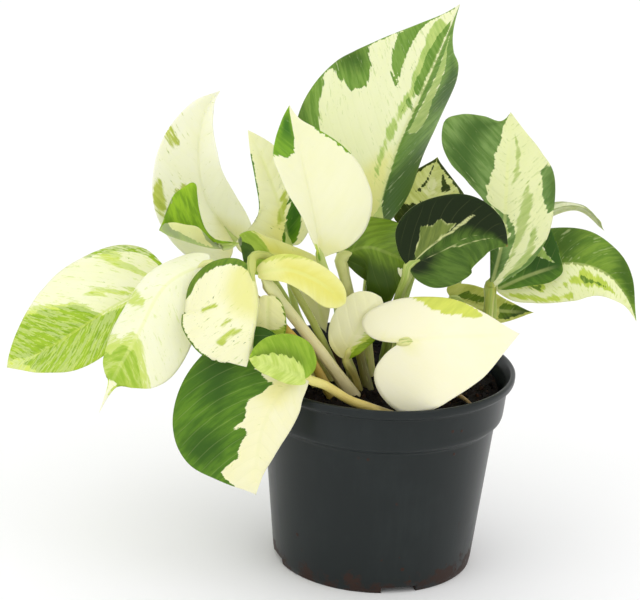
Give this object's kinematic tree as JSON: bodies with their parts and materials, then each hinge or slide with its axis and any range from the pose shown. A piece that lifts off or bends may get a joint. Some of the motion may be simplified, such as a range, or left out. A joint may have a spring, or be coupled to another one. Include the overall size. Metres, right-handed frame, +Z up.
{
  "type": "potted plant",
  "caption": "Variegated pothos in a round plastic nursery pot, heart-shaped cream and green leaves on long petioles rising from dark soil, one leaf hanging over the rim.",
  "frame": {"origin": "middle of the pot's base, on the surface that it stands on", "axes": "+Z up, the pot's axis; +X along the plant's greatest spread, to the right seen from the front; -Y is the front"},
  "size_m": [0.2812, 0.1289, 0.253],
  "materials": {
    "pot_plastic": "dark slate grey moulded plastic, satin, with specks of soil",
    "potting_soil": "moist dark brown potting soil, crumbly",
    "far_left_leaf_skin": "soft waxy leaf skin, satin, variegated cream and green",
    "hanging_left_leaf_skin": "soft waxy leaf skin, satin, variegated cream and green",
    "upright_left_leaf_skin": "soft waxy leaf skin, satin, variegated cream and green",
    "small_green_leaf_skin": "soft waxy leaf skin, satin, variegated cream and green",
    "round_front_leaf_skin": "soft waxy leaf skin, satin, variegated cream and green",
    "curled_leaf_skin": "soft waxy leaf skin, satin, variegated cream and green",
    "cream_heart_leaf_skin": "soft waxy leaf skin, satin, variegated cream and green",
    "top_leaf_skin": "soft waxy leaf skin, satin, variegated cream and green",
    "dark_green_leaf_skin": "soft waxy leaf skin, satin, variegated cream and green",
    "saddle_leaf_skin": "soft waxy leaf skin, satin, variegated cream and green",
    "tall_right_leaf_skin": "soft waxy leaf skin, satin, variegated cream and green",
    "tall_right_lobe_skin": "soft waxy leaf skin, satin, variegated cream and green",
    "far_right_leaf_skin": "soft waxy leaf skin, satin, variegated cream and green",
    "low_right_leaf_skin": "soft waxy leaf skin, satin, variegated cream and green",
    "edge_on_leaf_skin": "soft waxy leaf skin, satin, variegated cream and green",
    "rim_leaf_skin": "soft waxy leaf skin, satin, variegated cream and green",
    "rim_leaf_lobe_skin": "soft waxy leaf skin, satin, variegated cream and green",
    "front_heart_leaf_skin": "soft waxy leaf skin, satin, variegated cream and green",
    "beside_heart_leaf_skin": "soft waxy leaf skin, satin, variegated cream and green",
    "inner_leaf_skin": "soft waxy leaf skin, satin, variegated cream and green",
    "yellow_leaf_skin": "soft waxy leaf skin, satin, variegated cream and green",
    "yellow_upper_leaf_skin": "soft waxy leaf skin, satin, variegated cream and green",
    "young_leaf_skin": "soft waxy leaf skin, satin, variegated cream and green",
    "back_leaf_skin": "soft waxy leaf skin, satin, variegated cream and green",
    "far_left_petiole_skin": "smooth fleshy stalk, satin",
    "hanging_left_petiole_skin": "smooth fleshy stalk, satin",
    "upright_left_petiole_skin": "smooth fleshy stalk, satin",
    "round_front_petiole_skin": "smooth fleshy stalk, satin",
    "curled_petiole_skin": "smooth fleshy stalk, satin",
    "cream_heart_petiole_skin": "smooth fleshy stalk, satin",
    "top_petiole_skin": "smooth fleshy stalk, satin",
    "dark_green_petiole_skin": "smooth fleshy stalk, satin",
    "saddle_petiole_skin": "smooth fleshy stalk, satin",
    "tall_right_petiole_skin": "smooth fleshy stalk, satin",
    "far_right_petiole_skin": "smooth fleshy stalk, satin",
    "low_right_petiole_skin": "smooth fleshy stalk, satin",
    "edge_on_petiole_skin": "smooth fleshy stalk, satin",
    "rim_petiole_skin": "smooth fleshy stalk, satin",
    "front_heart_petiole_skin": "smooth fleshy stalk, satin",
    "beside_heart_petiole_skin": "smooth fleshy stalk, satin",
    "yellow_petiole_skin": "smooth fleshy stalk, satin",
    "back_petiole_skin": "smooth fleshy stalk, satin",
    "old_stem_bark": "rough dark bark",
    "surface_root_skin": "dry fibrous root"
  },
  "bodies": {
    "root": {"pot": "pot_plastic", "soil": "potting_soil", "far_left_leaf": "far_left_leaf_skin", "hanging_left_leaf": "hanging_left_leaf_skin", "upright_left_leaf": "upright_left_leaf_skin", "small_green_leaf": "small_green_leaf_skin", "round_front_leaf": "round_front_leaf_skin", "curled_leaf": "curled_leaf_skin", "cream_heart_leaf": "cream_heart_leaf_skin", "top_leaf": "top_leaf_skin", "dark_green_leaf": "dark_green_leaf_skin", "saddle_leaf": "saddle_leaf_skin", "tall_right_leaf": "tall_right_leaf_skin", "tall_right_lobe": "tall_right_lobe_skin", "far_right_leaf": "far_right_leaf_skin", "low_right_leaf": "low_right_leaf_skin", "edge_on_leaf": "edge_on_leaf_skin", "rim_leaf": "rim_leaf_skin", "rim_leaf_lobe": "rim_leaf_lobe_skin", "front_heart_leaf": "front_heart_leaf_skin", "beside_heart_leaf": "beside_heart_leaf_skin", "inner_leaf": "inner_leaf_skin", "yellow_leaf": "yellow_leaf_skin", "yellow_upper_leaf": "yellow_upper_leaf_skin", "young_leaf": "young_leaf_skin", "back_leaf": "back_leaf_skin", "far_left_petiole": "far_left_petiole_skin", "hanging_left_petiole": "hanging_left_petiole_skin", "upright_left_petiole": "upright_left_petiole_skin", "round_front_petiole": "round_front_petiole_skin", "curled_petiole": "curled_petiole_skin", "cream_heart_petiole": "cream_heart_petiole_skin", "top_petiole": "top_petiole_skin", "dark_green_petiole": "dark_green_petiole_skin", "saddle_petiole": "saddle_petiole_skin", "tall_right_petiole": "tall_right_petiole_skin", "far_right_petiole": "far_right_petiole_skin", "low_right_petiole": "low_right_petiole_skin", "edge_on_petiole": "edge_on_petiole_skin", "rim_petiole": "rim_petiole_skin", "front_heart_petiole": "front_heart_petiole_skin", "beside_heart_petiole": "beside_heart_petiole_skin", "yellow_petiole": "yellow_petiole_skin", "back_petiole": "back_petiole_skin", "old_stem": "old_stem_bark", "surface_root": "surface_root_skin"}
  },
  "joints": []
}
